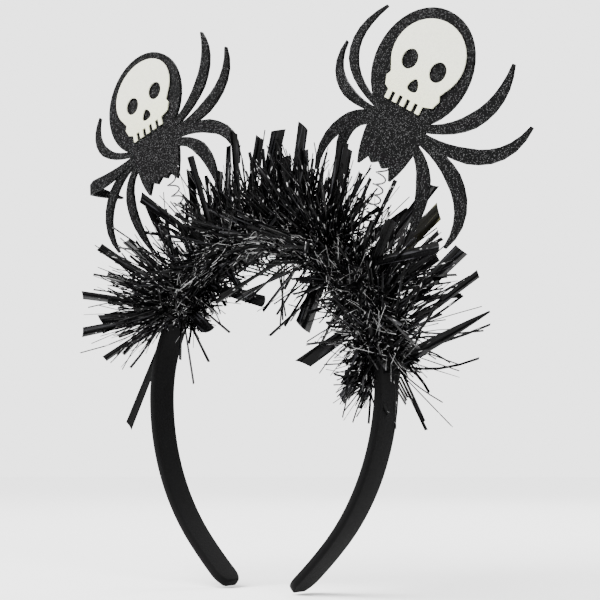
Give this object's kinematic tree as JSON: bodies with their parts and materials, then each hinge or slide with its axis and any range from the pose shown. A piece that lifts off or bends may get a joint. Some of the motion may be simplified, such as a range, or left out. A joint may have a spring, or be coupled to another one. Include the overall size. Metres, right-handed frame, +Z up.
{
  "type": "spider headband",
  "caption": "Velvet-covered hair band wrapped in black tinsel, with glitter spiders bearing skulls that bob on coil springs above the crown.",
  "frame": {"origin": "underside of the band at the middle of its crown, where it rests on the head", "axes": "+Z up from the head through the crown, +X to the wearer's left (the right of the front view), -Y towards the front, the way the spiders face"},
  "size_m": [0.2362, 0.0657, 0.2471],
  "materials": {
    "velvet": "matt velvet pile",
    "tinsel": "shiny foil",
    "wire": "bare spring wire",
    "black_glitter": "fine black glitter",
    "ivory_glitter": "fine pale glitter"
  },
  "bodies": {
    "headband": {"velvet_band": "velvet", "tinsel_garland": "tinsel", "spring_left": "wire", "spring_right": "wire"},
    "left_spider": {"spider_left": "black_glitter", "skull_left": "ivory_glitter"},
    "right_spider": {"spider_right": "black_glitter", "skull_right": "ivory_glitter"}
  },
  "joints": [
    {"name": "bob_left", "type": "hinge", "parent": "headband", "child": "left_spider", "pos_m": [-0.0452, -0.0051, 0.0195], "axis": [1, 0, 0], "range_deg": [-15, 15], "stiffness_Nm_per_rad": 0.025, "deforming": ["spring_left"]},
    {"name": "bob_right", "type": "hinge", "parent": "headband", "child": "right_spider", "pos_m": [0.055, 0.0047, 0.0091], "axis": [1, 0, 0], "range_deg": [-15, 15], "stiffness_Nm_per_rad": 0.025, "deforming": ["spring_right"]}
  ]
}
